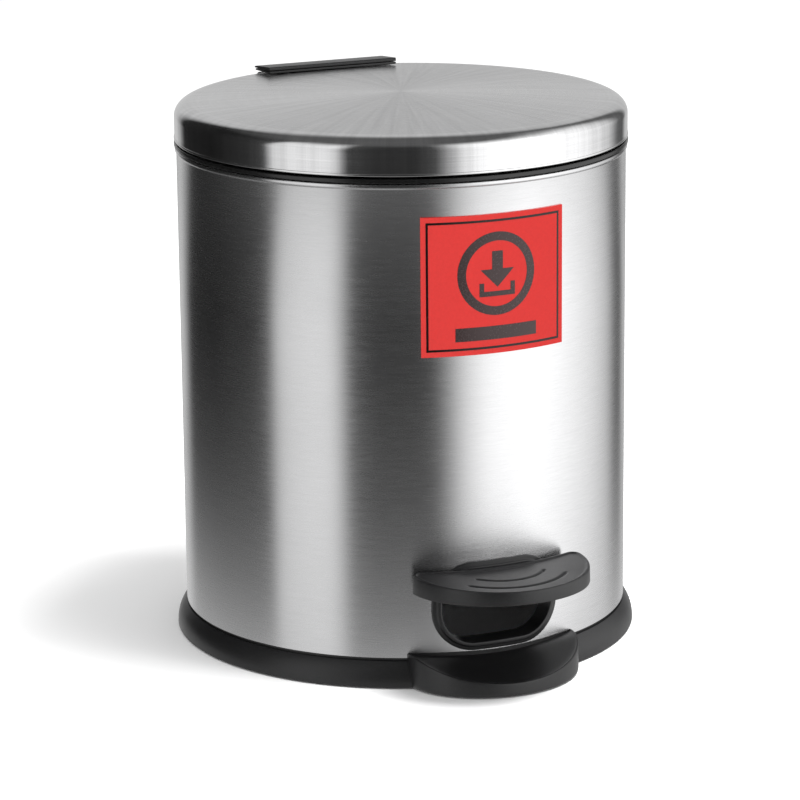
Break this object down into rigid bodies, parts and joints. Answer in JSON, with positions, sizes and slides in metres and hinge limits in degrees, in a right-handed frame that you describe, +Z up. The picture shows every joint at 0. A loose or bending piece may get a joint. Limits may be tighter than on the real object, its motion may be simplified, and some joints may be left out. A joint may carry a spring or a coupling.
{
  "type": "pedal bin",
  "caption": "Small round step-on waste bin with a hinged domed lid, a foot pedal, a lift rod and a lift-out inner bucket.",
  "frame": {"origin": "middle of the footprint on the floor, with the foot pads' bottoms at Z 0", "axes": "+Z up along the bin, -Y to the pedal, +Y to the lid's hinge, +X to the right as the user sees the pedal"},
  "size_m": [0.2138, 0.2584, 0.2513],
  "materials": {
    "steel": "brushed round the body",
    "lid_steel": "spun, with fine rings and a polished edge",
    "zinc": "dull plated steel",
    "black_plastic": "satin moulded",
    "gloss_black": "gloss moulded",
    "grey_plastic": "fine texture moulded",
    "rubber": "matte",
    "red_vinyl": "printed film"
  },
  "bodies": {
    "bin": {"body_shell": "steel", "top_collar": "gloss_black", "base": "black_plastic", "pedal_bezel": "black_plastic", "front_label": "red_vinyl", "lever_axle": "zinc", "axle_clip_left": "zinc", "axle_clip_right": "zinc", "foot_pad_front_left": "rubber", "foot_pad_front_right": "rubber", "foot_pad_rear_left": "rubber", "foot_pad_rear_right": "rubber", "rod_guide_lower": "zinc", "rod_guide_upper": "zinc", "hinge_bracket": "black_plastic", "bracket_screw_left": "zinc", "bracket_screw_right": "zinc", "hinge_pin": "zinc", "hinge_pin_clip": "zinc"},
    "pedal": {"pedal_plate": "black_plastic", "pedal_arm": "zinc", "pedal_screw_left": "zinc", "pedal_screw_right": "zinc"},
    "rod": {"lift_rod": "zinc", "rod_foot": "grey_plastic", "rod_tip": "grey_plastic"},
    "lid": {"lid_shell": "lid_steel", "lid_liner": "grey_plastic", "lid_hinge_leaf": "black_plastic", "hinge_cap": "black_plastic", "lid_screw_left": "zinc", "lid_screw_right": "zinc", "lid_bumper_front": "rubber", "lid_bumper_left": "rubber", "lid_bumper_right": "rubber"},
    "bucket": {"inner_bucket": "grey_plastic"},
    "bail": {"bail_wire": "zinc", "bail_grip": "grey_plastic"}
  },
  "joints": [
    {"name": "pedal_press", "type": "hinge", "parent": "bin", "child": "pedal", "pos_m": [0, 0.01379, 0.03], "axis": [1, 0, 0], "range_deg": [0, 14]},
    {"name": "rod_lift", "type": "slide", "parent": "bin", "child": "rod", "axis": [0, 0, 1], "range_m": [0, 0.0236]},
    {"name": "lid_hinge", "type": "hinge", "parent": "bin", "child": "lid", "pos_m": [0, 0.12401, 0.239], "axis": [-1, 0, 0], "range_deg": [0, 75.2]},
    {"name": "bucket_lift", "type": "slide", "parent": "bin", "child": "bucket", "axis": [0, 0, 1], "range_m": [0, 0.01]},
    {"name": "bail_swing", "type": "hinge", "parent": "bucket", "child": "bail", "pos_m": [0, 0.01379, 0.2158], "axis": [-1, 0, 0], "range_deg": [0, 8]}
  ],
  "couplings": [
    {"joint": "rod_lift", "follows": "pedal_press", "m_per_rad": 0.0956},
    {"joint": "lid_hinge", "follows": "pedal_press", "ratio": 5.3571}
  ]
}
